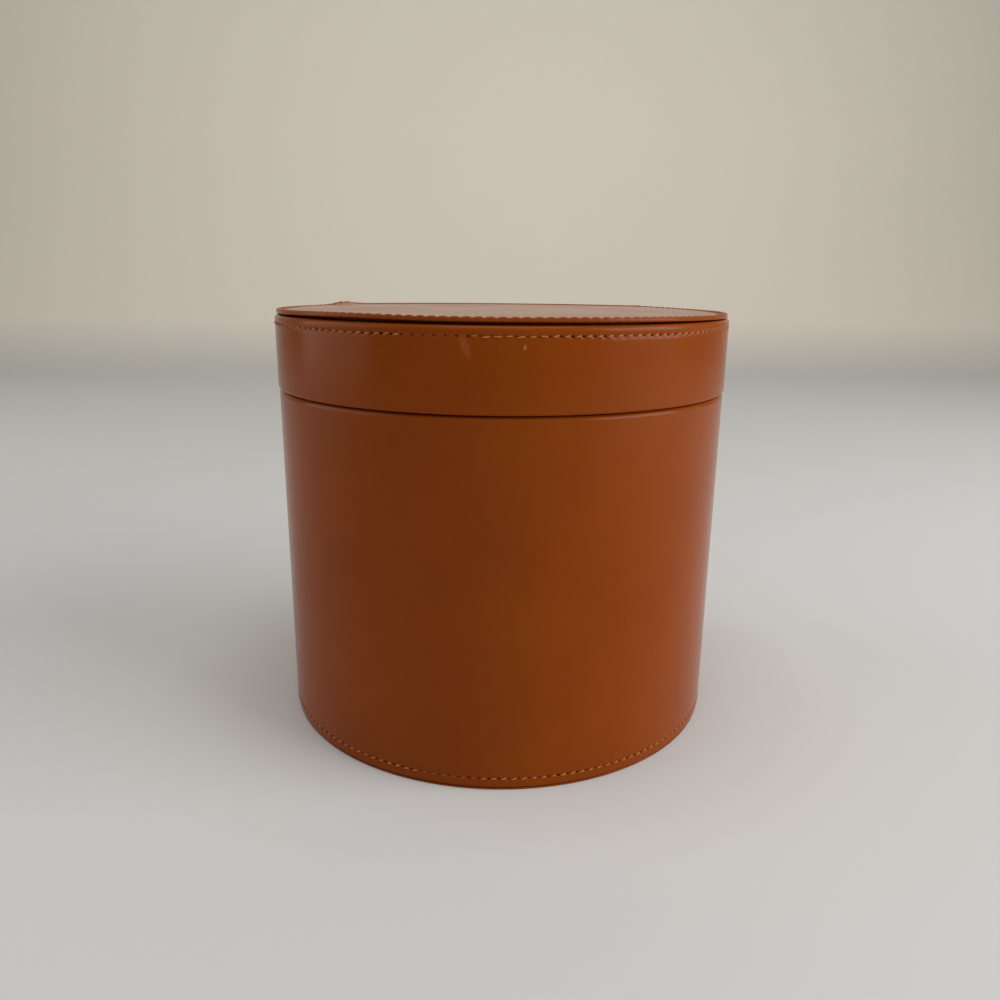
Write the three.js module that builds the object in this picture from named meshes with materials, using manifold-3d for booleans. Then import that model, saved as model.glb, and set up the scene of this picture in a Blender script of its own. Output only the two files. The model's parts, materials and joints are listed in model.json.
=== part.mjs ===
// A flat-backed drum case for hair tools: leather-covered board, with a deep lid that hinges at the back.
// Units are millimetres, +Z is up, the flat back faces +Y and the rounded front faces -Y.
// The origin is on the floor, at the centre of the footprint's box.
import * as THREE from "three";
import { mergeVertices } from "three/addons/utils/BufferGeometryUtils.js";
import Module from "manifold-3d";

// Plan of the lid, the widest part: a circle cut off by a flat back, with rounded back corners
const LID_RADIUS = 105;
const BACK_DISTANCE = 66; // from the circle's axis to the flat back
const CORNER_RADIUS = 10;
const LEAST_CORNER = 3; // the tightest corner that an inner layer keeps
const LID_OVERHANG = 0.4; // how far the lid stands out past the body, round the front

// Heights
const BODY_HEIGHT = 156; // floor to rim
const PARTING_GAP = 0.4; // rim to the lid's lower edge
const LID_BAND_HEIGHT = 32.4;
const COLLAR_HEIGHT = 12; // how far the collar stands above the rim, inside the lid

// Layers
const LEATHER = 1.2;
const WALL_BOARD = 3.5;
const LID_BOARD = 2.4;
const BASE_BOARD = 3;
const COLLAR_BOARD = 1.8;
const LINING = 0.6;
const GLUE = 0.3; // the glue line between two layers

// Edges that the leather rolls over
const RIM_ROUND = 1.6;
const LID_ROUND = 2;

// Base panel under the body
const BASE_PANEL = 2.2;
const BASE_INSET = 0.4;
const BASE_ROUND = 0.8;

// Top panel: a thin leather-covered board, sewn round its edge, on a layer of wadding
const TOP_PANEL = 2.5;
const TOP_PANEL_INSET = 0.8;
const TOP_PANEL_ROUND = 1.1;
const TOP_PANEL_BOARD = 1;
const TOP_TURN_IN = 10; // how far the band's leather turns in over the top board
const WADDING = 1.5;

// Spine: the leather that covers the flat back and bends as the hinge
const SPINE_MARGIN = 7.6; // from the spine's edge to where the back corner starts to turn
const HINGE_REACH = 4; // the bending strip's height above and below the parting line
const BACK_BOARD_MARGIN = 3.6; // the same, from the back board's edge

// Pads inside
const FLOOR_PAD = 5;
const CEILING_PAD = 4;
const PAD_ROUND = 1.5;
const LINING_TURN_DOWN = 14; // how far the lining tucks down behind the rim

// Sewing thread, laid in a channel that the stitches pull into the leather
const THREAD = 0.7;
const THREAD_PROUD = 0.2;
const CHANNEL_CLEARANCE = 0.3;
const BASE_SEAM_HEIGHT = 5.3; // floor to the lower row of stitches
const BAND_SEAM_DROP = 3.8; // lid band's top edge to its row of stitches
const PANEL_SEAM_INSET = 4.2; // top panel's edge to its row of stitches

// Closing magnets in the lid band and the steel keepers behind the collar
const MAGNET_DIAMETER = 7;
const MAGNET_THICKNESS = 1.8;
const KEEPER_THICKNESS = 1.2;
const MAGNET_ANGLE = 14; // degrees to each side of the front
const MAGNET_CLEARANCE = 0.3;

// Facets of the round stretches
const FRONT_FACETS = 36;
const CORNER_FACETS = 2;
const ROUND_FACETS = 3;
const DISC_FACETS = 16;

// Places that follow from the sizes above
const ARC_Y = (LID_RADIUS - BACK_DISTANCE) / 2; // the circle's axis, so that the footprint is centred
const BACK_Y = ARC_Y + BACK_DISTANCE;
const CORNER_Y = BACK_DISTANCE - CORNER_RADIUS; // the body's corner centres, from the circle's axis
const CORNER_X = Math.sqrt((LID_RADIUS - LID_OVERHANG - CORNER_RADIUS) ** 2 - CORNER_Y ** 2);
const SPINE_WIDTH = 2 * (CORNER_X - SPINE_MARGIN);
const BACK_BOARD_WIDTH = 2 * (CORNER_X - BACK_BOARD_MARGIN);
const LID_Z = BODY_HEIGHT + PARTING_GAP;
const LID_TOP_Z = LID_Z + LID_BAND_HEIGHT;
const PANEL_Z = LID_TOP_Z + GLUE;
const PANEL_TOP_Z = PANEL_Z + TOP_PANEL;
const COVER = LEATHER + GLUE; // from an outer face to the board under it
const WALL_INSIDE = COVER + WALL_BOARD;
const LID_INSIDE = COVER + LID_BOARD;
const BASE_BOARD_TOP = BASE_PANEL + BASE_BOARD;
const COLLAR_TOP_Z = BODY_HEIGHT + COLLAR_HEIGHT;
const COLLAR_BOARD_TOP = COLLAR_TOP_Z - LINING - GLUE;
const COLLAR_WRAP = WALL_INSIDE + GLUE; // outer face of the lining on the collar
const COLLAR_OUTSIDE = COLLAR_WRAP + LINING + GLUE;
const COLLAR_INSIDE = COLLAR_OUTSIDE + COLLAR_BOARD;
const LINING_INSIDE = COLLAR_INSIDE + GLUE + LINING;
const TOP_BOARD_Z = LID_TOP_Z - COVER - LID_BOARD;
const HINGE_Z = BODY_HEIGHT + PARTING_GAP / 2;
const BEYOND = 5; // how far a cutter runs past what it cuts

const wasm = await Module();
wasm.setup();

const TAN_LEATHER = new THREE.MeshStandardMaterial({ color: 0x8a3d0a, roughness: 0.42, metalness: 0 });
const GREY_BOARD = new THREE.MeshStandardMaterial({ color: 0x8d8578, roughness: 0.9, metalness: 0 });
const SUEDE = new THREE.MeshStandardMaterial({ color: 0x6f5138, roughness: 0.95, metalness: 0 });
const TAN_THREAD = new THREE.MeshStandardMaterial({ color: 0xb0643a, roughness: 0.7, metalness: 0 });
const WHITE_WADDING = new THREE.MeshStandardMaterial({ color: 0xd9d6cf, roughness: 1, metalness: 0 });
const MAGNET_STEEL = new THREE.MeshStandardMaterial({ color: 0x9a9a9c, roughness: 0.3, metalness: 1 });

// A closed three.js geometry as a solid that can be cut and joined
function solid(geometry) {
  const bare = geometry.clone();
  bare.deleteAttribute("normal");
  bare.deleteAttribute("uv");
  const merged = mergeVertices(bare, 1e-4);
  const vertProperties = new Float32Array(merged.attributes.position.array);
  const triVerts = new Uint32Array(merged.index.array);
  return new wasm.Manifold(new wasm.Mesh({ numProp: 3, vertProperties, triVerts }));
}

// A finished solid as a named mesh
function piece(name, body, material) {
  const mesh = body.getMesh();
  const geometry = new THREE.BufferGeometry();
  geometry.setAttribute("position", new THREE.BufferAttribute(new Float32Array(mesh.vertProperties), 3));
  geometry.setIndex(new THREE.BufferAttribute(new Uint32Array(mesh.triVerts), 1));
  geometry.computeVertexNormals();
  const made = new THREE.Mesh(geometry, material);
  made.name = name;
  return made;
}

// The plan drawn in from the lid's outer face: the round front by one amount and the flat back by another
function plan(frontInset, backInset) {
  const radius = LID_RADIUS - frontInset;
  const back = BACK_DISTANCE - backInset;
  const corner = Math.max(CORNER_RADIUS - backInset, LEAST_CORNER);
  const cornerX = Math.sqrt((radius - corner) ** 2 - (back - corner) ** 2);
  const cornerY = back - corner;
  const turn = Math.atan2(cornerY, cornerX); // where the round front meets the corner
  const left = new THREE.EllipseCurve(-cornerX, cornerY, corner, corner, Math.PI / 2, Math.PI - turn);
  const front = new THREE.EllipseCurve(0, 0, radius, radius, Math.PI - turn, 2 * Math.PI + turn);
  const right = new THREE.EllipseCurve(cornerX, cornerY, corner, corner, turn, Math.PI / 2);
  const points = [
    ...left.getPoints(CORNER_FACETS),
    ...front.getPoints(FRONT_FACETS).slice(1),
    ...right.getPoints(CORNER_FACETS).slice(1),
  ];
  return new THREE.Shape(points.map((p) => new THREE.Vector2(p.x, p.y + ARC_Y)));
}

// Three families of plan: the lid's layers, the body's outer layers, whose back is flush with the lid's,
// and the body's inner layers, which stay clear of the lid all round
const lidPlan = (inset) => plan(inset, inset);
const bodyPlan = (inset) => plan(LID_OVERHANG + inset, inset);
const innerPlan = (inset) => plan(LID_OVERHANG + inset, LID_OVERHANG + inset);

// A slab with square edges, from one height to another
function slab(shape, low, high) {
  const geometry = new THREE.ExtrudeGeometry(shape, { depth: high - low, bevelEnabled: false });
  return solid(geometry.translate(0, 0, low));
}

// A slab whose upper and lower edges are rounded off
function softSlab(shape, low, high, round) {
  const geometry = new THREE.ExtrudeGeometry(shape, {
    depth: high - low - 2 * round,
    bevelThickness: round,
    bevelSize: round,
    bevelOffset: -round,
    bevelSegments: ROUND_FACETS,
  });
  return solid(geometry.translate(0, 0, low + round));
}

// A wall between two plans
function wall(outer, inner, low, high) {
  return slab(outer, low, high).subtract(slab(inner, low - BEYOND, high + BEYOND));
}

// A box between two corners
function box(x0, x1, y0, y1, z0, z1) {
  const geometry = new THREE.BoxGeometry(x1 - x0, y1 - y0, z1 - z0);
  return solid(geometry.translate((x0 + x1) / 2, (y0 + y1) / 2, (z0 + z1) / 2));
}

// The stretch of the flat back within a width, from a depth outwards
function backZone(width, depth) {
  return box(-width / 2, width / 2, BACK_Y - depth, BACK_Y + BEYOND, -BEYOND, PANEL_TOP_Z + BEYOND);
}

// A disc that faces outwards from the circle's axis, at an angle from the front
function radialDisc(diameter, thickness, nearRadius, degrees, height) {
  const angle = THREE.MathUtils.degToRad(degrees - 90);
  const middle = nearRadius + thickness / 2;
  const geometry = new THREE.CylinderGeometry(diameter / 2, diameter / 2, thickness, DISC_FACETS);
  geometry.rotateZ(angle - Math.PI / 2);
  geometry.translate(middle * Math.cos(angle), ARC_Y + middle * Math.sin(angle), height);
  return solid(geometry);
}

// A row of sewing round a wall, and the channel that it lies in
const SEAM_DEPTH = THREAD - THREAD_PROUD;
function wallSeam(planOf, height) {
  const thread = wall(planOf(-THREAD_PROUD), planOf(SEAM_DEPTH), height - THREAD / 2, height + THREAD / 2);
  const half = THREAD / 2 + CHANNEL_CLEARANCE;
  const channelFloor = planOf(SEAM_DEPTH + CHANNEL_CLEARANCE);
  const channel = wall(planOf(-BEYOND), channelFloor, height - half, height + half);
  return { thread: thread.subtract(backZone(SPINE_WIDTH + 2 * GLUE, BACK_DISTANCE)), channel };
}

const baseSeam = wallSeam(bodyPlan, BASE_SEAM_HEIGHT);
const bandSeam = wallSeam(lidPlan, LID_TOP_Z - BAND_SEAM_DROP);

// Spine slots are cut a glue line wider and deeper than the spine leather
const spineSlot = backZone(SPINE_WIDTH + 2 * GLUE, COVER);
const spineStrip = (low, high) =>
  box(-SPINE_WIDTH / 2, SPINE_WIDTH / 2, BACK_Y - LEATHER, BACK_Y, low, high);

// Back boards are let in between the ends of the bent wall boards
const backBoardZone = backZone(BACK_BOARD_WIDTH, BACK_DISTANCE);
const backBoardSlot = backZone(BACK_BOARD_WIDTH + 2 * GLUE, BACK_DISTANCE);

const caseBody = new THREE.Group();
const lid = new THREE.Group();

// Base panel, the leather-covered sole that the case stands on
const basePlan = bodyPlan(BASE_INSET);
caseBody.add(piece("base_panel", softSlab(basePlan, 0, BASE_PANEL, BASE_ROUND), TAN_LEATHER));

// Base board, the stiff floor let in between the wall boards
const baseBoardPlan = innerPlan(WALL_INSIDE + GLUE);
caseBody.add(piece("base_board", slab(baseBoardPlan, BASE_PANEL, BASE_BOARD_TOP), GREY_BOARD));

// Wall board bent round the front, and the flat back board that closes it
const wallBoards = wall(bodyPlan(COVER), bodyPlan(WALL_INSIDE), BASE_PANEL, BODY_HEIGHT - COVER);
caseBody.add(piece("wall_board", wallBoards.subtract(backBoardSlot), GREY_BOARD));
caseBody.add(piece("back_board", wallBoards.intersect(backBoardZone), GREY_BOARD));

// Wall leather, wrapped round the boards and turned in over the rim
const wallSkin = softSlab(bodyPlan(0), BASE_PANEL, BODY_HEIGHT, RIM_ROUND)
  .add(slab(bodyPlan(0), BASE_PANEL, BODY_HEIGHT / 2))
  .subtract(slab(bodyPlan(LEATHER), BASE_PANEL - BEYOND, BODY_HEIGHT - LEATHER))
  .subtract(slab(bodyPlan(WALL_INSIDE), BASE_PANEL, BODY_HEIGHT + BEYOND))
  .subtract(baseSeam.channel)
  .subtract(spineSlot);
caseBody.add(piece("wall_leather", wallSkin, TAN_LEATHER));
caseBody.add(piece("base_thread", baseSeam.thread, TAN_THREAD));

// Spine leather on the body, and the bending strip above it
const hingeLow = HINGE_Z - HINGE_REACH;
const hingeHigh = HINGE_Z + HINGE_REACH;
caseBody.add(piece("back_leather", spineStrip(BASE_PANEL, hingeLow - GLUE), TAN_LEATHER));
caseBody.add(piece("hinge_leather", spineStrip(hingeLow, hingeHigh), TAN_LEATHER));

// Closing magnets in the lid band, and steel keepers let into the collar beside them
const MAGNET_Z = (LID_Z + COVER + COLLAR_BOARD_TOP) / 2; // where the band's board and the collar's overlap
const MAGNET_RADIUS = LID_RADIUS - COVER - (LID_BOARD + MAGNET_THICKNESS) / 2;
const KEEPER_RADIUS = LID_RADIUS - LID_OVERHANG - COLLAR_OUTSIDE - (COLLAR_BOARD + KEEPER_THICKNESS) / 2;
const POCKET_DIAMETER = MAGNET_DIAMETER + 2 * MAGNET_CLEARANCE;
const sides = [
  { side: "left", degrees: -MAGNET_ANGLE },
  { side: "right", degrees: MAGNET_ANGLE },
];
const pocketFor = (thickness, radius, degrees) =>
  radialDisc(POCKET_DIAMETER, thickness + 2 * BEYOND, radius - BEYOND, degrees, MAGNET_Z);

// Collar, a thin board ring that stands above the rim and guides the lid
let collar = wall(innerPlan(COLLAR_OUTSIDE), innerPlan(COLLAR_INSIDE), BASE_BOARD_TOP, COLLAR_BOARD_TOP);
for (const { side, degrees } of sides) {
  collar = collar.subtract(pocketFor(KEEPER_THICKNESS, KEEPER_RADIUS, degrees));
  const keeper = radialDisc(MAGNET_DIAMETER, KEEPER_THICKNESS, KEEPER_RADIUS, degrees, MAGNET_Z);
  caseBody.add(piece("keeper_" + side, keeper, MAGNET_STEEL));
}
caseBody.add(piece("collar_board", collar, GREY_BOARD));

// Suede lining down the inside, over the collar's edge and tucked behind the rim
const tuckedLow = BODY_HEIGHT - LINING_TURN_DOWN;
const liningSkin = slab(innerPlan(COLLAR_WRAP), tuckedLow, COLLAR_TOP_Z)
  .add(slab(innerPlan(COLLAR_INSIDE + GLUE), BASE_BOARD_TOP, COLLAR_TOP_Z))
  .subtract(wall(innerPlan(COLLAR_WRAP + LINING), innerPlan(COLLAR_INSIDE + GLUE), 0, COLLAR_TOP_Z - LINING))
  .subtract(slab(innerPlan(LINING_INSIDE), 0, COLLAR_TOP_Z + BEYOND));
caseBody.add(piece("wall_lining", liningSkin, SUEDE));

// Floor pad, a suede-covered cushion lying on the base board
const floorPadPlan = innerPlan(LINING_INSIDE + GLUE);
const floorPadTop = BASE_BOARD_TOP + FLOOR_PAD;
caseBody.add(piece("floor_pad", softSlab(floorPadPlan, BASE_BOARD_TOP, floorPadTop, PAD_ROUND), SUEDE));

// Lid boards: the bent band, its flat back and the top
let bandBoards = wall(lidPlan(COVER), lidPlan(LID_INSIDE), LID_Z + COVER, TOP_BOARD_Z);
lid.add(piece("lid_back_board", bandBoards.intersect(backBoardZone), GREY_BOARD));
bandBoards = bandBoards.subtract(backBoardSlot);
for (const { side, degrees } of sides) {
  bandBoards = bandBoards.subtract(pocketFor(MAGNET_THICKNESS, MAGNET_RADIUS, degrees));
  const magnet = radialDisc(MAGNET_DIAMETER, MAGNET_THICKNESS, MAGNET_RADIUS, degrees, MAGNET_Z);
  lid.add(piece("lid_magnet_" + side, magnet, MAGNET_STEEL));
}
lid.add(piece("lid_band_board", bandBoards, GREY_BOARD));
lid.add(piece("lid_top_board", slab(lidPlan(COVER), TOP_BOARD_Z, LID_TOP_Z - COVER), GREY_BOARD));

// Band leather, turned in over the lid's lower edge and over the rim of the top board
const bandSkin = softSlab(lidPlan(0), LID_Z, LID_TOP_Z, LID_ROUND)
  .subtract(slab(lidPlan(LEATHER), LID_Z + LEATHER, LID_TOP_Z - LEATHER))
  .subtract(slab(lidPlan(LID_INSIDE), LID_Z - BEYOND, LID_Z + LID_BAND_HEIGHT / 2))
  .subtract(slab(lidPlan(TOP_TURN_IN), LID_TOP_Z - LID_BAND_HEIGHT / 2, LID_TOP_Z + BEYOND))
  .subtract(bandSeam.channel)
  .subtract(spineSlot);
lid.add(piece("lid_band_leather", bandSkin, TAN_LEATHER));
lid.add(piece("lid_band_thread", bandSeam.thread, TAN_THREAD));
lid.add(piece("lid_back_leather", spineStrip(hingeHigh + GLUE, LID_TOP_Z), TAN_LEATHER));

// Wadding in the recess that the turned-in leather leaves
const waddingZ = LID_TOP_Z - COVER;
lid.add(piece("top_wadding", slab(lidPlan(TOP_TURN_IN + GLUE), waddingZ, waddingZ + WADDING), WHITE_WADDING));

// Top panel: its board, the leather turned round it, and its sewing
const panelBoardPlan = lidPlan(TOP_PANEL_INSET + COVER);
lid.add(piece("top_panel_board", slab(panelBoardPlan, PANEL_Z, PANEL_Z + TOP_PANEL_BOARD), GREY_BOARD));
const seamMiddle = TOP_PANEL_INSET + PANEL_SEAM_INSET;
const panelSeam = (spread, low, high) =>
  wall(lidPlan(seamMiddle - spread), lidPlan(seamMiddle + spread), low, high);
const panelThread = panelSeam(THREAD / 2, PANEL_TOP_Z - SEAM_DEPTH, PANEL_TOP_Z + THREAD_PROUD);
const channelSpread = THREAD / 2 + CHANNEL_CLEARANCE;
const channelZ = PANEL_TOP_Z - SEAM_DEPTH - CHANNEL_CLEARANCE;
const panelSkin = softSlab(lidPlan(TOP_PANEL_INSET), PANEL_Z, PANEL_TOP_Z, TOP_PANEL_ROUND)
  .subtract(slab(lidPlan(TOP_PANEL_INSET + LEATHER), PANEL_Z - BEYOND, PANEL_Z + TOP_PANEL_BOARD + GLUE))
  .subtract(panelSeam(channelSpread, channelZ, PANEL_TOP_Z + BEYOND));
lid.add(piece("top_panel_leather", panelSkin, TAN_LEATHER));
const openBack = backZone(SPINE_WIDTH, TOP_PANEL_INSET + PANEL_SEAM_INSET + channelSpread);
lid.add(piece("top_panel_thread", panelThread.subtract(openBack), TAN_THREAD));

// Lid lining and the padded ceiling
const ceilingZ = TOP_BOARD_Z - GLUE;
const liningOutside = LID_INSIDE + GLUE;
const lidLining = wall(lidPlan(liningOutside), lidPlan(liningOutside + LINING), LID_Z + COVER, ceilingZ);
lid.add(piece("lid_wall_lining", lidLining, SUEDE));
const ceilingPlan = lidPlan(liningOutside + LINING + GLUE);
lid.add(piece("lid_ceiling_pad", softSlab(ceilingPlan, ceilingZ - CEILING_PAD, ceilingZ, PAD_ROUND), SUEDE));

const hairToolCase = new THREE.Group();
hairToolCase.add(caseBody, lid);
export default hairToolCase;
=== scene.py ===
# A flat-backed drum case for hair tools, dressed in leather, thread and suede.
import json
import math
import random

import bmesh
import bpy
from mathutils import Matrix, Vector
from mathutils.kdtree import KDTree


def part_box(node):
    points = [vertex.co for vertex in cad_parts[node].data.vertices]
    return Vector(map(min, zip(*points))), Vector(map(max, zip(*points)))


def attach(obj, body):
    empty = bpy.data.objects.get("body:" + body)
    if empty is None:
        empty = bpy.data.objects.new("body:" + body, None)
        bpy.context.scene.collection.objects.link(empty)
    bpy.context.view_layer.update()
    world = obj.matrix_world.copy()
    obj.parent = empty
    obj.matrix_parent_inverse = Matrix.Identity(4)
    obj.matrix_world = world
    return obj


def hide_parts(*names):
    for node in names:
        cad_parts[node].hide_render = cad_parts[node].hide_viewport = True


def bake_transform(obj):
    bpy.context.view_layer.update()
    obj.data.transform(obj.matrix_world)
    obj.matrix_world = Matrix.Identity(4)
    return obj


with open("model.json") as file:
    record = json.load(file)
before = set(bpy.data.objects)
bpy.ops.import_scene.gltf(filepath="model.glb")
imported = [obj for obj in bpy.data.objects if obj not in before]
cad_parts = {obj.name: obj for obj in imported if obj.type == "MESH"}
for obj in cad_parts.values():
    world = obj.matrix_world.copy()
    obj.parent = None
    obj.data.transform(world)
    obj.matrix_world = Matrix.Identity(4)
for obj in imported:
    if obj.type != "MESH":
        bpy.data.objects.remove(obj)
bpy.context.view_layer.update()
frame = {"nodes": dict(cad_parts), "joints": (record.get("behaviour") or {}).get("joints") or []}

# The camera stands where the photograph was taken from: a phone's wide lens a forearm's length in front
# of the case and just above its lid, tipped down a little, not quite level, and a little to the left.
MM = 0.001
BACK_DISTANCE = 66 * MM  # from the axis of the round front to the flat back
lid_low, lid_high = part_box("lid_band_leather")
BACK_Y = lid_high.y
ARC_Y = BACK_Y - BACK_DISTANCE
CAMERA_DISTANCE = 397 * MM  # level, from the axis of the round front
CAMERA_HEIGHT = 204.8 * MM
CAMERA_TURN = math.radians(3.8)
CAMERA_TILT = math.radians(15.29)
CAMERA_ROLL = math.radians(0.59)
SENSOR_WIDTH = 36  # this and the focal length are in mm, as the camera takes them
FOCAL_LENGTH = 29.16
NEAREST = 10 * MM
camera = bpy.data.objects.new("camera", bpy.data.cameras.new("camera"))
camera.data.sensor_width = SENSOR_WIDTH
camera.data.lens = FOCAL_LENGTH
camera.data.clip_start = NEAREST
stand = Vector((
    -CAMERA_DISTANCE * math.sin(CAMERA_TURN),
    ARC_Y - CAMERA_DISTANCE * math.cos(CAMERA_TURN),
    CAMERA_HEIGHT,
))
camera.matrix_world = (
    Matrix.Translation(stand)
    @ Matrix.Rotation(-CAMERA_TURN, 4, "Z")
    @ Matrix.Rotation(math.pi / 2 - CAMERA_TILT, 4, "X")
    @ Matrix.Rotation(CAMERA_ROLL, 4, "Z")
)
bpy.context.scene.collection.objects.link(camera)
bpy.context.scene.camera = camera
bpy.context.scene.view_settings.view_transform = "Standard"


# Base panel: the sole that the case stands on, a thin board covered in leather with its edge rolled
# under, glued beneath the drum and set in a little, so that a dark line runs round the foot of the wall.
def linear(colour):
    """An sRGB hex colour as the linear values that a shader takes."""
    channels = [int(colour[i:i + 2], 16) / 255 for i in (1, 3, 5)]
    return [c / 12.92 if c <= 0.04045 else ((c + 0.055) / 1.055) ** 2.4 for c in channels] + [1]


def add(tree, kind, inputs, **settings):
    """Adds a node with its settings, and gives each named input its value or its link."""
    made = tree.nodes.new(kind)
    for name, value in settings.items():
        setattr(made, name, value)
    for name, value in inputs.items():
        if isinstance(value, bpy.types.NodeSocket):
            tree.links.new(value, made.inputs[name])
        else:
            made.inputs[name].default_value = value
    return made


def new_material(name):
    """A named material, its node tree and its shader."""
    material = bpy.data.materials.new(name)
    material.use_nodes = True
    return material, material.node_tree, material.node_tree.nodes["Principled BSDF"]


# Smooth finished cowhide, dyed tan: a soft broad shine that grows towards the edges of the form, hardly
# any pores, a slow drift of tone across the hide, tiny flecks, and two paler marks of wear.
tan_leather, tree, shader = new_material("smooth_tan_cowhide")
HIDE_DRIFT = 45 * MM
HIDE_WAVE = 22 * MM
WAVE_HEIGHT = 0.3 * MM
GRAIN_CELL = 0.8 * MM  # coarser than the real pores, so that it shows
PORE_DEPTH = 0.06 * MM
FLECK_CELL = 2.4 * MM
# Each mark gives its colour and strength, its middle and its reach in mm, and its turn.
SCUFF = ("#b06a42", 0.28, (-20.0, -83.6, 181.2), (1.8, 1.5, 5.4), (0, -0.42, 0))  # on the lid band
NICK = ("#c08050", 0.65, (1.4, -85.5, 181.2), (0.6, 1.5, 1.2), (0, 0, 0))  # beside the scuff
place = add(tree, "ShaderNodeTexCoord", {}).outputs["Object"]
drift = add(tree, "ShaderNodeTexNoise", {"Vector": place, "Scale": 1 / HIDE_DRIFT, "Detail": 5})
tone = add(
    tree, "ShaderNodeMix",
    {0: drift.outputs["Fac"], 6: linear("#803701"), 7: linear("#904203")},
    data_type="RGBA",
)
shine = add(
    tree, "ShaderNodeMapRange",
    {"Value": drift.outputs["Fac"], "From Min": 0.3, "From Max": 0.7, "To Min": 0.165, "To Max": 0.225},
)
wave = add(tree, "ShaderNodeTexNoise", {"Vector": place, "Scale": 1 / HIDE_WAVE, "Detail": 2})
waves = add(
    tree, "ShaderNodeBump",
    {"Height": wave.outputs["Fac"], "Distance": WAVE_HEIGHT, "Strength": 0.4},
)
grain = add(
    tree, "ShaderNodeTexVoronoi",
    {"Vector": place, "Scale": 1 / GRAIN_CELL},
    feature="SMOOTH_F1",
)
pores = add(
    tree, "ShaderNodeBump",
    {
        "Height": grain.outputs["Distance"], "Distance": PORE_DEPTH, "Strength": 0.2,
        "Normal": waves.outputs["Normal"],
    },
)
fleck = add(tree, "ShaderNodeTexVoronoi", {"Vector": place, "Scale": 1 / FLECK_CELL})
fleck_mask = add(
    tree, "ShaderNodeMapRange",
    {"Value": fleck.outputs["Distance"], "From Min": 0.16, "From Max": 0.08, "To Max": 0.2},
)
fleck_shade = add(
    tree, "ShaderNodeMix",
    {0: fleck.outputs["Color"], 6: linear("#3f1802"), 7: linear("#b87446")},
    data_type="RGBA",
)
flecked = add(
    tree, "ShaderNodeMix",
    {0: fleck_mask.outputs["Result"], 6: tone.outputs[2], 7: fleck_shade.outputs[2]},
    data_type="RGBA",
)
colour = flecked.outputs[2]
for shade, strength, middle, reach, turn in (SCUFF, NICK):
    where = add(
        tree, "ShaderNodeMapping",
        {
            "Vector": place, "Rotation": turn,
            "Location": [v * MM for v in middle], "Scale": [v * MM for v in reach],
        },
        vector_type="TEXTURE",
    )
    spot = add(
        tree, "ShaderNodeTexGradient",
        {"Vector": where.outputs["Vector"]},
        gradient_type="SPHERICAL",
    )
    mask = add(
        tree, "ShaderNodeMapRange",
        {"Value": spot.outputs["Fac"], "From Max": 0.5, "To Max": strength},
    )
    marked = add(
        tree, "ShaderNodeMix",
        {0: mask.outputs["Result"], 6: colour, 7: linear(shade)},
        data_type="RGBA",
    )
    colour = marked.outputs[2]
tree.links.new(colour, shader.inputs["Base Color"])
tree.links.new(shine.outputs["Result"], shader.inputs["Roughness"])
tree.links.new(pores.outputs["Normal"], shader.inputs["Normal"])
shader.inputs["IOR"].default_value = 1.5
shader.inputs["Specular IOR Level"].default_value = 0.11

LID_RADIUS = ARC_Y - lid_low.y
BODY_RADIUS = ARC_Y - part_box("wall_leather")[0].y
CORNER_RADIUS = 10 * MM  # of the rounded back corners
CORNER_Y = BACK_DISTANCE - CORNER_RADIUS
PLAIN_STEPS = 96
SEWN_STEPS = 336  # fine enough for the dimples of the stitches
CORNER_STEPS = 12
FLAT_STEPS = 10
ROUND_SEGMENTS = 6
WELD = 0.001 * MM
SHARP_ANGLE = math.radians(50)


def corner_of(radius):
    """How far to the side the back corner's centre lies in a plan, and where its turn begins."""
    corner_x = math.sqrt((radius - CORNER_RADIUS) ** 2 - CORNER_Y ** 2)
    return corner_x, math.atan2(CORNER_Y, corner_x)


def edges_in(geometry):
    """The edges among what an operator has made."""
    return [part for part in geometry if isinstance(part, bmesh.types.BMEdge)]


def drawn_out(bm, edges, way):
    """Draws edges out into a flat sheet, and gives the sheet's far edges."""
    made = bmesh.ops.extrude_edge_only(bm, edges=edges)["geom"]
    moved = [part for part in made if isinstance(part, bmesh.types.BMVert)]
    bmesh.ops.translate(bm, verts=moved, vec=way)
    return edges_in(made)


def swept(profile, radius, end_x, closed=True, steps=PLAIN_STEPS):
    """Carries a profile round half of a plan and mirrors it. Each point of the profile gives its inset
    and height, and the radius to which it is rounded if it isn't a sharp corner, all in mm."""
    bm = bmesh.new()
    points = [bm.verts.new((0, ARC_Y - radius + inset * MM, z * MM)) for inset, z, *_ in profile]
    for near, far in zip(points, points[1:] + points[:1] if closed else points[1:]):
        bm.edges.new((near, far))
    for point, (_, _, *rounding) in zip(points, profile):
        if rounding:
            bmesh.ops.bevel(
                bm, geom=[point], offset=rounding[0] * MM, offset_type="OFFSET", affect="VERTICES",
                segments=ROUND_SEGMENTS, profile=0.5, material=-1,
            )
    corner_x, turn = corner_of(radius)
    swung = bmesh.ops.spin(
        bm, geom=bm.verts[:] + bm.edges[:], cent=(0, ARC_Y, 0), axis=(0, 0, 1),
        angle=math.pi / 2 + turn, steps=steps,
    )
    swung = bmesh.ops.spin(
        bm, geom=swung["geom_last"], cent=(corner_x, ARC_Y + CORNER_Y, 0), axis=(0, 0, 1),
        angle=math.pi / 2 - turn, steps=CORNER_STEPS,
    )
    end = edges_in(swung["geom_last"])
    for _ in range(FLAT_STEPS):
        end = drawn_out(bm, end, ((end_x - corner_x) / FLAT_STEPS, 0, 0))
    if closed and end_x > 0:
        bmesh.ops.contextual_create(bm, geom=end)
    bmesh.ops.mirror(bm, geom=bm.verts[:] + bm.edges[:] + bm.faces[:], axis="X", merge_dist=WELD)
    bmesh.ops.remove_doubles(bm, verts=bm.verts[:], dist=WELD)
    return bm


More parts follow.
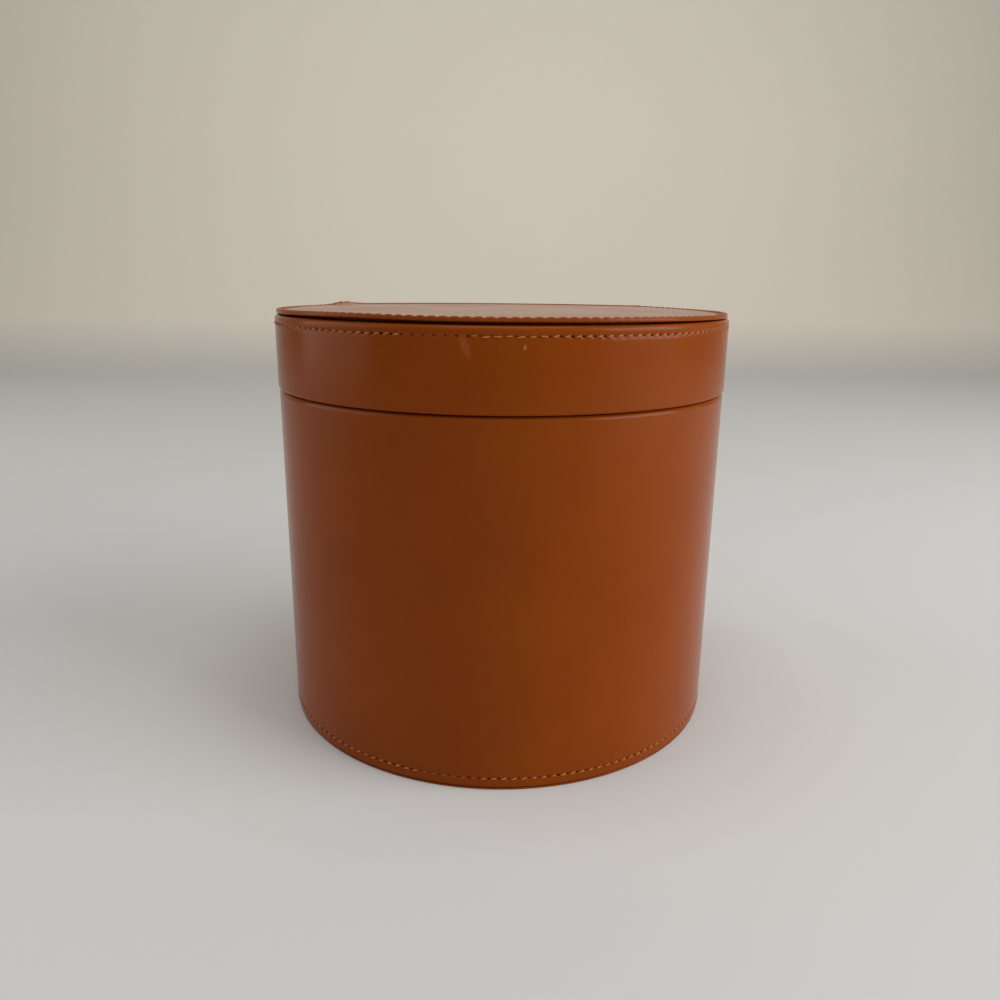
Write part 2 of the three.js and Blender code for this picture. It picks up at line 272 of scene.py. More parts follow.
def fill_middle(bm):
    """Closes the open middle of a plan."""
    bmesh.ops.holes_fill(bm, edges=[edge for edge in bm.edges if edge.is_boundary], sides=0)


def finished(bm, name, material, body, slot, *nodes, even=True):
    """Makes a smooth-shaded piece of a bmesh, which rides on a body and stands for its frame nodes."""
    bmesh.ops.recalc_face_normals(bm, faces=bm.faces[:])
    mesh = bpy.data.meshes.new(name)
    bm.to_mesh(mesh)
    bm.free()
    mesh.materials.append(material)
    mesh.shade_smooth()
    mesh.set_sharp_from_angle(angle=SHARP_ANGLE)
    piece = bpy.data.objects.new(name, mesh)
    bpy.context.scene.collection.objects.link(piece)
    if even:
        piece.modifiers.new("even_shading", "WEIGHTED_NORMAL").keep_sharp = True
    if body:
        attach(piece, body)
    if nodes:
        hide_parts(*nodes)
    return piece


def inset_of(node, radius):
    """How far a frame node's front lies inside a plan's front, in mm."""
    return (radius - (ARC_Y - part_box(node)[0].y)) / MM


SOLE_EDGE = 0.9  # the sole's edge is thinner than its middle
SOLE_STEP = 3  # from the edge to where it thickens
SOLE_MARGIN = 8  # from the edge to the flat middle
SOLE_ROUND = 0.3
base_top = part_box("base_panel")[1].z / MM
sole_inset = inset_of("base_panel", BODY_RADIUS)
sole = swept(
    [
        (sole_inset + SOLE_MARGIN, 0), (sole_inset, 0, SOLE_ROUND), (sole_inset, SOLE_EDGE, SOLE_ROUND),
        (sole_inset + SOLE_STEP, SOLE_EDGE), (sole_inset + SOLE_STEP, base_top),
        (sole_inset + SOLE_MARGIN, base_top),
    ],
    BODY_RADIUS, 0, closed=False,
)
fill_middle(sole)
finished(sole, "base_sole", tan_leather, "case_body", "tan_leather", "base_panel")


# Boards: the stiff grey millboard inside the walls, floor, collar and lid, cut square and glued up.
# They stay as the frame has them, and show only as a pressed, fibrous grey.
grey_board, tree, shader = new_material("pressed_grey_millboard")
FIBRE = 1.5 * MM
place = add(tree, "ShaderNodeTexCoord", {}).outputs["Object"]
fibre = add(tree, "ShaderNodeTexNoise", {"Vector": place, "Scale": 1 / FIBRE, "Detail": 6})
flecks = add(
    tree, "ShaderNodeMix",
    {0: fibre.outputs["Fac"], 6: linear("#7d766a"), 7: linear("#9a9285")},
    data_type="RGBA",
)
tree.links.new(flecks.outputs[2], shader.inputs["Base Color"])
shader.inputs["Roughness"].default_value = 0.9


def refinish(material, *nodes):
    """Gives frame nodes a material in place of their plain one."""
    for node in nodes:
        slots = frame["nodes"][node].data.materials
        slots.clear()
        slots.append(material)


refinish(
    grey_board, "base_board", "wall_board", "back_board", "collar_board",
    "lid_band_board", "lid_back_board", "lid_top_board",
)


# Wall leather: one hide wrapped round the drum from corner to corner of the flat back, turned in over
# the rim so that the rim is softly rounded. A row of stitches near its foot draws it in a little.
LEATHER = 1.2
GLUE = 0.3  # the gap that stands for a glue line
WALL_INSIDE = 5  # leather and board together
SOLE_GAP = 0.2  # between the sole's edge and the foot of the wall
WALL_FOOT = SOLE_EDGE + SOLE_GAP
FOOT_ROUND = 1.0
RIM_ROUND = 2.0
RIM_INNER_ROUND = 0.5
SEAM_REACH = (-1.8, -1.2, -0.8, -0.4, 0, 0.4, 0.8, 1.2, 1.8)  # where the hide gives beside a row
spine_low, spine_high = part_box("back_leather")
SEAM_X = spine_high.x + GLUE * MM
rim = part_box("wall_leather")[1].z / MM
base_seam_z = sum(corner.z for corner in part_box("base_thread")) / 2 / MM
wall = swept(
    [(LEATHER, WALL_FOOT), (0, WALL_FOOT, FOOT_ROUND)]
    + [(0, base_seam_z + reach) for reach in SEAM_REACH]
    + [
        (0, rim, RIM_ROUND), (WALL_INSIDE, rim, RIM_INNER_ROUND),
        (WALL_INSIDE, rim - LEATHER), (LEATHER, rim - LEATHER),
    ],
    BODY_RADIUS, SEAM_X, steps=SEWN_STEPS,
)

# Waxed polyester thread in short slanted stitches, paler than the leather, which dive into a pricked hole
# at each end. The wax dulls it, and its plies vary in tone. Some stretches are worn, and one is frayed.
STITCH_PITCH = 4.2 * MM
STITCH_LENGTH = 2.4 * MM
STITCH_WIDTH = 0.66 * MM
STITCH_RISE = 0.48 * MM
STITCH_SLANT = 16
# The dark mark at each hole is painted shade: a flat lens, larger than the hole, for the shade inside it.
HOLE_SHADE_LENGTH = 2.4 * MM
HOLE_SHADE_WIDTH = 1.2 * MM
HOLE_SHADE_DEPTH = 0.14 * MM
HOLE_SHADE_SLANT = -46
HOLE_SHADE_STAND = 0.1 * MM  # above the bottom of its dimple
PLY = 2.5 * MM
waxed_thread, tree, shader = new_material("waxed_tan_thread")
place = add(tree, "ShaderNodeTexCoord", {}).outputs["Object"]
ply = add(tree, "ShaderNodeTexNoise", {"Vector": place, "Scale": 1 / PLY, "Detail": 3})
strands = add(
    tree, "ShaderNodeMix",
    {0: ply.outputs["Fac"], 6: linear("#955019"), 7: linear("#d08a54")},
    data_type="RGBA",
)
tree.links.new(strands.outputs[2], shader.inputs["Base Color"])
shader.inputs["Roughness"].default_value = 0.6
shader.inputs["Specular IOR Level"].default_value = 0.15
# Painted shade: a dark, matt colour that stands for the shade inside each pricked hole.
painted_hole_shade, tree, shader = new_material("pricked_hole_in_leather")
shader.inputs["Base Color"].default_value = linear("#3f1003")
shader.inputs["Roughness"].default_value = 0.9
shader.inputs["Specular IOR Level"].default_value = 0


def plan_at(radius, inset, run):
    """The point at a distance along a plan's outline from the middle of its front, and the way out."""
    corner_x, turn = corner_of(radius)
    front = (radius - inset) * (math.pi / 2 + turn)
    bend = (CORNER_RADIUS - inset) * (math.pi / 2 - turn)
    mirror = Vector((math.copysign(1, run), 1, 1))
    run = abs(run)
    if run < front:
        centre, reach = Vector((0, ARC_Y, 0)), radius - inset
        angle = run / reach - math.pi / 2
    else:
        past = max(run - front - bend, 0)
        centre, reach = Vector((corner_x - past, ARC_Y + CORNER_Y, 0)), CORNER_RADIUS - inset
        angle = turn + min(run - front, bend) / reach
    out = Vector((math.cos(angle), math.sin(angle), 0))
    return (centre + out * reach) * mirror, out * mirror


ROW_SAMPLES = 16  # to each stitch, for finding how near to the row a point of the hide lies
HIDE_GIVE = 4 * MM  # further than this from the row, the hide stays as it is
WALL_GIVE = 2 * MM  # the same, below a row on a wall
TOP_GIVE = 1 * MM  # the same, below a row on a flat top
GROOVE_WIDTH = 0.8 * MM
UNEVEN_PULL = 0.15
UNEVEN_TURN = 7  # radians from one stitch to the next, so that neighbours are pulled unlike
SIZE_SPREAD = (-0.12, 0.08)
SIDE_SPREAD = 0.1  # in mm, across the row
SLANT_SPREAD = 4  # in degrees
FRAYED_SPREAD = 3  # how many times as unevenly frayed stitches lie
STITCH_SIDES = 8
STITCH_RINGS = 6
HOLE_SHADE_RINGS = 4


def sew(hide, name, body, node, radius, inset, end_x, height, flat, pull, worn, seed):
    """Draws a hide in along a row of stitches, and makes the stitches and the painted shade at their
    holes:
    dark marks, larger than the holes, that stand for the shade inside them.
    The row follows a plan's outline and stops at end_x on each side of the back. flat says that it lies
    on a flat top. pull gives, in mm, the depth of the groove, the further depth at each hole, how far a
    hole draws along the row and out across it, and how far a stitch lies below the groove. worn gives
    stretches of the row, each from one angle round the front to another, with the share of thread and
    of painted hole shade that shows there and the thread's slant. Over 1, the thread is frayed. Angles
    are in degrees."""
    groove, dimple, near, wide, sunk = (size * MM for size in pull)
    chance = random.Random(seed)
    corner_x, turn = corner_of(radius)
    half = (radius - inset) * (math.pi / 2 + turn) + (CORNER_RADIUS - inset) * (math.pi / 2 - turn)
    half += corner_x - end_x
    count = round(2 * half / STITCH_PITCH)
    pitch = 2 * half / count

    def station(number):
        """A place along the row, the way out of the hide there, and the way out of the plan."""
        point, out = plan_at(radius, inset, number * pitch - half)
        face = Vector((0, 0, 1)) if flat else out
        return Vector((point.x, point.y, height)), face, out

    row = KDTree(count * ROW_SAMPLES + 1)
    samples = [station(number / ROW_SAMPLES) for number in range(count * ROW_SAMPLES + 1)]
    for number, (point, _, _) in enumerate(samples):
        row.insert(point, number)
    row.balance()
    lowest = height - (TOP_GIVE if flat else WALL_GIVE)
    for v in hide.verts:
        point, number, aside = row.find(v.co)
        _, face, out = samples[number]
        if aside < HIDE_GIVE and v.co.z > lowest:
            stitch = round(number / ROW_SAMPLES)
            phase = number / ROW_SAMPLES - stitch
            reach = near
            if out.dot(v.co - point) > 0:
                reach += (wide - near) * min(1 - out.y, 1)
            uneven = 1 - UNEVEN_PULL + UNEVEN_PULL * math.sin(UNEVEN_TURN * stitch)
            draw = math.exp(-(phase * pitch / near) ** 2 - (aside / reach) ** 2) * dimple * uneven
            v.co -= face * (draw + groove * math.exp(-(aside / GROOVE_WIDTH) ** 2))

    stitches, hole_shades = bmesh.new(), bmesh.new()
    for half_step in range(1, count * 2):
        point, face, out = station(half_step / 2)
        along = Vector((0, 0, 1)).cross(out)
        across = face.cross(along)
        turned = Matrix((along, across, face)).transposed().to_4x4()
        degrees = math.degrees(math.atan2(point.y - ARC_Y, point.x))
        shows = [show for first, last, *show in worn if first < degrees < last]
        thread, hole, slant = shows[0] if shows else (1, 1, STITCH_SLANT)
        loose = FRAYED_SPREAD if thread > 1 else 1
        size = 1 + loose * chance.uniform(*SIZE_SPREAD)
        point = point + across * loose * chance.uniform(-SIDE_SPREAD, SIDE_SPREAD) * MM
        if half_step % 2:
            slant = math.radians(slant + loose * chance.uniform(-SLANT_SPREAD, SLANT_SPREAD))
            thick = size * min(thread, 1 / thread)
            shape = (STITCH_LENGTH / 2 * size * thread, STITCH_WIDTH / 2 * thick, STITCH_RISE * thick)
            lift, mesh, rings = -groove - sunk, stitches, STITCH_RINGS
        else:
            slant = math.radians(HOLE_SHADE_SLANT)
            shape = (HOLE_SHADE_LENGTH / 2 * size * hole, HOLE_SHADE_WIDTH / 2 * size * hole, HOLE_SHADE_DEPTH)
            lift, mesh, rings = HOLE_SHADE_STAND - groove - dimple, hole_shades, HOLE_SHADE_RINGS
        laid = Matrix.Translation(point + face * lift) @ turned @ Matrix.Rotation(slant, 4, "Z")
        bmesh.ops.create_uvsphere(
            mesh, u_segments=STITCH_SIDES, v_segments=rings, radius=1,
            matrix=laid @ Matrix.Diagonal((*shape, 1)),
        )
    finished(stitches, name + "_stitches", waxed_thread, body, "tan_thread", node, even=False)
    finished(hole_shades, name + "_stitch_holes", painted_hole_shade, body, "tan_leather", even=False)


ROW_MARGIN = 2 * MM  # from the end of a row to the edge of its hide, beside the spine
ROW_END = SEAM_X + ROW_MARGIN
WALL_PULL = (0.1, 0.42, 0.8, 0.8, 0)
BASE_WORN = [(-112, -97, 0.5, 0.75, 10), (-50, 0, 0.6, 0.5, 12)]  # left of the middle, and on the right
sew(
    wall, "base", "case_body", "base_thread",
    radius=BODY_RADIUS, inset=0, end_x=ROW_END, height=base_seam_z * MM,
    flat=False, pull=WALL_PULL, worn=BASE_WORN, seed=3,
)
finished(wall, "wall_hide", tan_leather, "case_body", "tan_leather", "wall_leather")


# Spine: the leather that covers the flat back in one strip from foot to lid, glued to the back boards
# and bare between them, where it bends as the hinge. Use has set a soft crease along the bend.
HINGE_Z = frame["joints"][0]["pos_m"][2]
CREASE_DEPTH = 0.4 * MM
CREASE_WIDTH = 1.3 * MM
PLAIN_REACH = 30  # from the bend to where the plain sheet begins, in mm
COARSE_STEP = 0.5  # of the sheet's rows beside the bend, in mm
FINE_STEP = 0.1  # of the rows in the bend
FINE_ROWS = 14  # to each side of the bend's middle
COARSE_ROWS = range(4, 13)  # the same, counted in coarse steps
SPINE_ROUND = 0.5 * MM
EDGE_SEGMENTS = 3
spine_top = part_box("lid_back_leather")[1].z
heights = [spine_low.z, HINGE_Z - PLAIN_REACH * MM]
heights += [HINGE_Z - step * COARSE_STEP * MM for step in reversed(COARSE_ROWS)]
heights += [HINGE_Z + step * FINE_STEP * MM for step in range(-FINE_ROWS, FINE_ROWS + 1)]
heights += [HINGE_Z + step * COARSE_STEP * MM for step in COARSE_ROWS]
heights += [spine_top]
spine = bmesh.new()
corners = [
    (spine_low.x, BACK_Y - LEATHER * MM), (spine_high.x, BACK_Y - LEATHER * MM),
    (spine_high.x, BACK_Y), (spine_low.x, BACK_Y),
]
strip = [spine.verts.new((x, y, heights[0])) for x, y in corners]
spine.faces.new(strip)
bmesh.ops.bevel(
    spine, geom=strip[2:], offset=SPINE_ROUND, offset_type="OFFSET", affect="VERTICES",
    segments=EDGE_SEGMENTS, profile=0.5, material=-1,
)
edges = spine.edges[:]
for low, high in zip(heights, heights[1:]):
    edges = drawn_out(spine, edges, (0, 0, high - low))
bmesh.ops.contextual_create(spine, geom=edges)
for v in spine.verts:
    v.co.y -= CREASE_DEPTH * math.exp(-((v.co.z - HINGE_Z) / CREASE_WIDTH) ** 2)
spine_piece = finished(
    spine, "spine_hide", tan_leather, None, "tan_leather",
    "back_leather", "hinge_leather", "lid_back_leather",
)
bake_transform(spine_piece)


# Edge strips: where the spine takes the place of the wrapped hides, a narrow strip of the same leather
# covers the top of the back board, and another the lower edge of the lid's back.
STRIP_ROUND = 0.3 * MM


def edge_strip(name, body, depth, low, high):
    """A strip across the back, from a depth inside it to the spine, between two heights in mm."""
    strip = bmesh.new()
    bmesh.ops.create_cube(strip, size=1)
    width, across = 2 * SEAM_X, (depth - LEATHER - GLUE) * MM
    bmesh.ops.scale(strip, vec=(width, across, (high - low) * MM), verts=strip.verts)
    middle = (0, BACK_Y - depth * MM + across / 2, (low + high) / 2 * MM)
    bmesh.ops.translate(strip, vec=middle, verts=strip.verts)
    bmesh.ops.bevel(
        strip, geom=strip.edges[:], offset=STRIP_ROUND, offset_type="OFFSET", affect="EDGES",
        segments=EDGE_SEGMENTS, profile=0.5, material=-1,
    )
    finished(strip, name, tan_leather, body, "tan_leather")


lid_z, lid_top = lid_low.z / MM, lid_high.z / MM
LID_INSIDE = 3.9  # leather and board together
edge_strip("rim_strip", "case_body", WALL_INSIDE, rim - LEATHER, rim)
edge_strip("lid_edge_strip", "lid", LID_INSIDE, lid_z, lid_z + LEATHER)


# Lining: soft microsuede glued down the inside of the collar, over its edge and behind the rim.
# Its short nap scatters light, so it looks matt, with a pale bloom at a glance.
suede, tree, shader = new_material("napped_microsuede")
NAP_PATCH = 14 * MM
NAP = 0.6 * MM
NAP_DEPTH = 0.2 * MM
place = add(tree, "ShaderNodeTexCoord", {}).outputs["Object"]
patch = add(tree, "ShaderNodeTexNoise", {"Vector": place, "Scale": 1 / NAP_PATCH, "Detail": 4})
nap = add(tree, "ShaderNodeTexNoise", {"Vector": place, "Scale": 1 / NAP, "Detail": 3})
brushed = add(
    tree, "ShaderNodeMix",
    {0: patch.outputs["Fac"], 6: linear("#7a5c43"), 7: linear("#94745a")},
    data_type="RGBA",
)
fuzz = add(tree, "ShaderNodeBump", {"Height": nap.outputs["Fac"], "Distance": NAP_DEPTH, "Strength": 0.5})
tree.links.new(brushed.outputs[2], shader.inputs["Base Color"])
tree.links.new(fuzz.outputs["Normal"], shader.inputs["Normal"])
shader.inputs["Roughness"].default_value = 0.95
shader.inputs["Sheen Weight"].default_value = 0.35
shader.inputs["Sheen Roughness"].default_value = 0.4

LINING = 0.6
COLLAR = 3.6  # the board and both layers of suede
LINING_TUCK = 14  # how far the suede goes down behind the rim
LINING_ROUND = 0.55
lining_low, lining_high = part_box("wall_lining")
collar_top, floor_top = lining_high.z / MM, lining_low.z / MM
tuck = rim - LINING_TUCK
wrap = inset_of("wall_lining", LID_RADIUS)
inner = wrap + COLLAR
lining = swept(
    [
        (wrap, tuck), (wrap, collar_top, LINING_ROUND), (inner, collar_top, LINING_ROUND),
        (inner, floor_top), (inner - LINING, floor_top), (inner - LINING, collar_top - LINING),
        (wrap + LINING, collar_top - LINING), (wrap + LINING, tuck),
    ],
    LID_RADIUS, 0,
)
finished(lining, "collar_suede", suede, "case_body", "suede", "wall_lining")


# Magnets and keepers: nickel-plated discs let into the lid band's board and the collar and hidden by
# leather and suede, which hold the lid shut. They stay as the frame has them.
nickel, tree, shader = new_material("nickel_plate")
shader.inputs["Base Color"].default_value = linear("#b9b4ab")
shader.inputs["Metallic"].default_value = 1
shader.inputs["Roughness"].default_value = 0.28
refinish(nickel, "keeper_left", "keeper_right", "lid_magnet_left", "lid_magnet_right")


# Lid band: a second hide wrapped round the lid's wall, rolled under at its lower edge and turned in over
# the top board, with a row of stitches just below the top.
TURN_IN = 9.2
BAND_FOOT_ROUND = 1.0
BAND_TOP_ROUND = 1.9
BAND_INNER_ROUND = 0.4
band_seam_z = sum(corner.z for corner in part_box("lid_band_thread")) / 2 / MM
band = swept(
    [(0, lid_z, BAND_FOOT_ROUND)]
    + [(0, band_seam_z + reach) for reach in SEAM_REACH]
    + [
        (0, lid_top, BAND_TOP_ROUND), (TURN_IN, lid_top),
        (TURN_IN, lid_top - LEATHER), (LEATHER, lid_top - LEATHER),
        (LEATHER, lid_z + LEATHER), (LID_INSIDE, lid_z + LEATHER), (LID_INSIDE, lid_z, BAND_INNER_ROUND),
    ],
    LID_RADIUS, SEAM_X, steps=SEWN_STEPS,
)
BAND_WORN = [
    (-114.3, -99.9, 0.25, 0.7, 10),  # nearly worn away, left of the middle
    (-99.9, -85.4, 1.25, 0.4, 6),  # frayed, in the middle
    (-43, 0, 0.6, 0.5, 12),  # on the right
]
sew(
    band, "lid_band", "lid", "lid_band_thread",
    radius=LID_RADIUS, inset=0, end_x=ROW_END, height=band_seam_z * MM,
    flat=False, pull=WALL_PULL, worn=BAND_WORN, seed=5,
)
finished(band, "lid_band_hide", tan_leather, "lid", "tan_leather", "lid_band_leather")


# Wadding: a thin white felt that fills the recess under the top panel, inside the turned-in leather, and
# gives the panel its slight softness. It stays as the frame has it.
wadding, tree, shader = new_material("white_felt_wadding")
TUFT = 2 * MM
place = add(tree, "ShaderNodeTexCoord", {}).outputs["Object"]
felt = add(tree, "ShaderNodeTexNoise", {"Vector": place, "Scale": 1 / TUFT, "Detail": 6})
tufts = add(
    tree, "ShaderNodeMix",
    {0: felt.outputs["Fac"], 6: linear("#c9c5bc"), 7: linear("#e4e1da")},
    data_type="RGBA",
)
tree.links.new(tufts.outputs[2], shader.inputs["Base Color"])
shader.inputs["Roughness"].default_value = 1
refinish(wadding, "top_wadding")


# Top panel: leather turned round a thin board and sewn along its curved edge, which each stitch nips into
# a beaded lip that stands off the lid band. The panel has bowed: its sides lie lower than its middle, and
# its left front has come up. At the left back corner, where the stitches end, the leather has bunched up.
panel_low, panel_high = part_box("top_panel_leather")
panel_z, panel_top = panel_low.z / MM, panel_high.z / MM
panel_inset = inset_of("top_panel_leather", LID_RADIUS)
PANEL_SEAM = 3.6  # this and the next five are measured in from the panel's edge
PANEL_LIP = 4.2
PANEL_SEAT = 4.6
PANEL_BOARD = 4.9
PANEL_MARGIN = 8
PANEL_PLAIN = 6.5  # beyond the row's reach
LIP_THICKNESS = 1.3
LIP_ROUND = 0.5
BEAD_RISE = 0.6
BEAD_ROUND = 0.9
CROWN_DROP = 0.35  # leaves room for most of the bead
PANEL_PULL = (0.2, 0.85, 0.8, 4.0, 0.1)
crown = panel_top - CROWN_DROP
lip = crown - LIP_THICKNESS
bead = crown + BEAD_RISE
outline = [(PANEL_MARGIN, panel_z), (PANEL_SEAT, panel_z), (PANEL_LIP, lip)]
outline += [(0, lip, LIP_ROUND), (0, bead, BEAD_ROUND), (PANEL_SEAM + SEAM_REACH[0], bead)]
outline += [(PANEL_SEAM + reach, crown) for reach in SEAM_REACH[1:]]
outline += [(PANEL_PLAIN, crown), (PANEL_MARGIN, crown)]
panel = swept(
    [(panel_inset + inset, *rest) for inset, *rest in outline],
    LID_RADIUS, 0, closed=False, steps=SEWN_STEPS,
)
sew(
    panel, "top_panel", "lid", "top_panel_thread",
    radius=LID_RADIUS, inset=(panel_inset + PANEL_SEAM) * MM, end_x=spine_high.x, height=crown * MM,
    flat=True, pull=PANEL_PULL, worn=[], seed=7,
)
fill_middle(panel)

PANEL_GRID = 5  # the flat middle is cut into squares, so that it can bend
GRID_WIDTH = 100
GRID_DEPTH = 80
GRID_LOWEST = crown * MM - 0.1 * MM  # just under the flat middle
middle = [
    face for face in panel.faces
    if len(face.verts) > 4 and face.calc_center_median().z > GRID_LOWEST
]
sheet = middle + [part for face in middle for part in (*face.verts, *face.edges)]
for way, span in ((Vector((1, 0, 0)), GRID_WIDTH), (Vector((0, 1, 0)), GRID_DEPTH)):
    for step in range(-span, span + 1, PANEL_GRID):
        cut = bmesh.ops.bisect_plane(
            panel, geom=sheet, dist=WELD, plane_co=way * step * MM, plane_no=way,
        )
        sheet = cut["geom"]

PANEL_BOW = 1.1 * MM
PUCKER = Vector((-82 * MM, 79 * MM))
PUCKER_RISE = 1.2 * MM
PUCKER_WIDTH = 6
PUCKER_DEPTH = 7
LEFT_RISE = 0.68 * MM
LEFT_X = -72
LEFT_REACH = 32
BACK_START = 10  # the y from which the bead grows flatter, and the left front no longer stands up
BACK_RUN = 50  # and how far that takes
BACK_FLATTENING = 0.6
BEAD_MIDDLE = 0.9
BEAD_REACH = 1.2
SETTLE_RUN = 0.9  # above the panel's seat, which stays on the lid


def settle(point):
    """How far the panel's leather has come up or sunk at a place."""
    away = (point.xy - PUCKER) / MM
    bunched = PUCKER_RISE * math.exp(-(away.x / PUCKER_WIDTH) ** 2 - (away.y / PUCKER_DEPTH) ** 2)
    bowed = PANEL_BOW * (point.x / LID_RADIUS) ** 2
    from_arc = LID_RADIUS - (point.xy - Vector((0, ARC_Y))).length
    inset = min(from_arc, BACK_Y - point.y) / MM - panel_inset
    behind = min(max((point.y / MM - BACK_START) / BACK_RUN, 0), 1)
    beaded = BEAD_RISE * MM * math.exp(-((inset - BEAD_MIDDLE) / BEAD_REACH) ** 2)
    flattened = BACK_FLATTENING * behind * beaded
    raised = LEFT_RISE * (1 - behind) * math.exp(-((point.x / MM - LEFT_X) / LEFT_REACH) ** 2)
    return bunched + raised - bowed - flattened


for v in panel.verts:
    share = min(max((v.co.z / MM - panel_z) / SETTLE_RUN, 0), 1)
    v.co.z += share * settle(v.co)
finished(panel, "top_panel_hide", tan_leather, "lid", "tan_leather", "top_panel_leather")
for name in ("top_panel_stitches", "top_panel_stitch_holes"):
    for v in bpy.data.objects[name].data.vertices:
        v.co.z += settle(v.co)
panel_board = swept(
    [
        (panel_inset + PANEL_MARGIN, panel_z), (panel_inset + PANEL_BOARD, panel_z),
        (panel_inset + PANEL_BOARD, crown - LEATHER), (panel_inset + PANEL_MARGIN, crown - LEATHER),
    ],
    LID_RADIUS, 0, closed=False,
)
fill_middle(panel_board)
finished(panel_board, "top_panel_millboard", grey_board, "lid", "grey_board", "top_panel_board")


# Lid lining: the same microsuede inside the lid's wall, glued to the band's board from the turned-in edge
# of the leather up to the top board. Its lower edge is softly rounded, where the collar slides past it.
LINING_FOOT_ROUND = 0.3
lining_low, lining_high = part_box("lid_wall_lining")
lining_foot, lining_top = lining_low.z / MM, lining_high.z / MM
outer = inset_of("lid_wall_lining", LID_RADIUS)
lid_lining = swept(
    [
        (outer, lining_foot), (outer, lining_top),
        (outer + LINING, lining_top), (outer + LINING, lining_foot, LINING_FOOT_ROUND),
    ],
    LID_RADIUS, 0,
)
finished(lid_lining, "lid_suede", suede, "lid", "suede", "lid_wall_lining")


# Pads: suede drawn over thin foam, one glued to the floor of the drum and one under the lid's top board.
# The foam pushes the suede out into a low crown, and the edges pull in.
PAD_VOXEL = 2.2 * MM
PAD_CAP = 1.5 * MM  # the furthest that a point of the suede may move
PAD_BLANK = 0.72  # the blank's height as a share of the pad's
PAD_CLEARANCE = 0.25
PAD_GLUED = 0.3  # the share of the blank's height that is held down
PAD_FRAMES = 20


def swollen(blank, name, held):
    """Where the points of a pad's suede lie once the foam has pushed it out, if the held points stay."""
    puffed = bpy.data.objects.new(name + "_cloth", blank)
    bpy.context.scene.collection.objects.link(puffed)
    puffed.vertex_groups.new(name="glued").add(held, 1, "REPLACE")
    cloth = puffed.modifiers.new("cloth", "CLOTH")
    cloth.settings.quality = 5
    cloth.settings.mass = 0.3
    cloth.settings.tension_stiffness = 12
    cloth.settings.compression_stiffness = 12
    cloth.settings.shear_stiffness = 6
    cloth.settings.bending_stiffness = 0.6
    cloth.settings.vertex_group_mass = "glued"
    cloth.settings.use_pressure = True
    cloth.settings.uniform_pressure_force = 4
    cloth.settings.effector_weights.gravity = 0
    cloth.collision_settings.use_collision = False
    cloth.collision_settings.use_self_collision = False
    cloth.point_cache.frame_start = 1
    cloth.point_cache.frame_end = PAD_FRAMES
    for step in range(1, PAD_FRAMES + 1):
        bpy.context.scene.frame_set(step)
    depsgraph = bpy.context.evaluated_depsgraph_get()
    places = [v.co.copy() for v in puffed.evaluated_get(depsgraph).data.vertices]
    puffed.modifiers.clear()
    bpy.data.objects.remove(puffed)
    bpy.context.scene.frame_set(1)
    return places


def pad(name, node, body, upward):
    """A cushion in a frame node's space, glued by its lower side if it faces upward, or by its upper."""
    low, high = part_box(node)
    start, end = (low.z, high.z) if upward else (high.z, low.z)
    rise = (end - start) * PAD_BLANK
    outline = [(inset_of(node, LID_RADIUS) + PAD_CLEARANCE, start / MM)]
    cushion = swept(outline, LID_RADIUS, 0, closed=False)
    bmesh.ops.contextual_create(cushion, geom=cushion.edges[:])
    raised = bmesh.ops.extrude_face_region(cushion, geom=cushion.faces[:])["geom"]
    top = [part for part in raised if isinstance(part, bmesh.types.BMVert)]
    bmesh.ops.translate(cushion, verts=top, vec=(0, 0, rise))
    bmesh.ops.recalc_face_normals(cushion, faces=cushion.faces[:])
    mesh = bpy.data.meshes.new(name)
    cushion.to_mesh(mesh)
    cushion.free()
    draft = bpy.data.objects.new(name + "_draft", mesh)
    bpy.context.scene.collection.objects.link(draft)
    remesh = draft.modifiers.new("voxels", "REMESH")
    remesh.mode = "VOXEL"
    remesh.voxel_size = PAD_VOXEL
    draft.modifiers.new("smooth", "SMOOTH").iterations = 3
    depsgraph = bpy.context.evaluated_depsgraph_get()
    blank = bpy.data.meshes.new_from_object(draft.evaluated_get(depsgraph))
    bpy.data.objects.remove(draft)
    held = [v.index for v in blank.vertices if abs(v.co.z - start) < abs(rise) * PAD_GLUED]
    before = [v.co.copy() for v in blank.vertices]
    for v, was, now in zip(blank.vertices, before, swollen(blank, name, held)):
        move = now - was
        v.co = was + (move if move.length < PAD_CAP else move.normalized() * PAD_CAP)
    cushion = bmesh.new()
    cushion.from_mesh(blank)
    piece = finished(cushion, name, suede, body, "suede", node, even=False)


pad("floor_cushion", "floor_pad", "case_body", True)
pad("ceiling_cushion", "lid_ceiling_pad", "lid", False)


# Stage: a plain pale floor that sweeps up into a warmer backdrop well behind the case, soft light from
# the right, the left and above, and a pale room all round. Its sizes are in metres.
STAGE_HALF_WIDTH = 4
STAGE_FRONT = 3
STAGE_DEPTH = 1.4
STAGE_SWEEP = 0.6
STAGE_HEIGHT = 2
SWEEP_STEPS = 24
WARM_FROM = 0.1
pale, tree, shader = new_material("pale_painted_board")
place = add(tree, "ShaderNodeTexCoord", {}).outputs["Object"]
up = add(tree, "ShaderNodeSeparateXYZ", {"Vector": place}).outputs["Z"]
rise = add(tree, "ShaderNodeMapRange", {"Value": up, "From Min": 0.0, "From Max": WARM_FROM})
wash = add(
    tree, "ShaderNodeMix",
    {0: rise.outputs["Result"], 6: linear("#d2d2d0"), 7: linear("#f3ecdd")},
    data_type="RGBA",
)
tree.links.new(wash.outputs[2], shader.inputs["Base Color"])
shader.inputs["Roughness"].default_value = 0.7
stage = bmesh.new()
front = [stage.verts.new((x, -STAGE_FRONT, 0)) for x in (-STAGE_HALF_WIDTH, STAGE_HALF_WIDTH)]
edges = drawn_out(stage, [stage.edges.new(front)], (0, STAGE_FRONT + STAGE_DEPTH, 0))
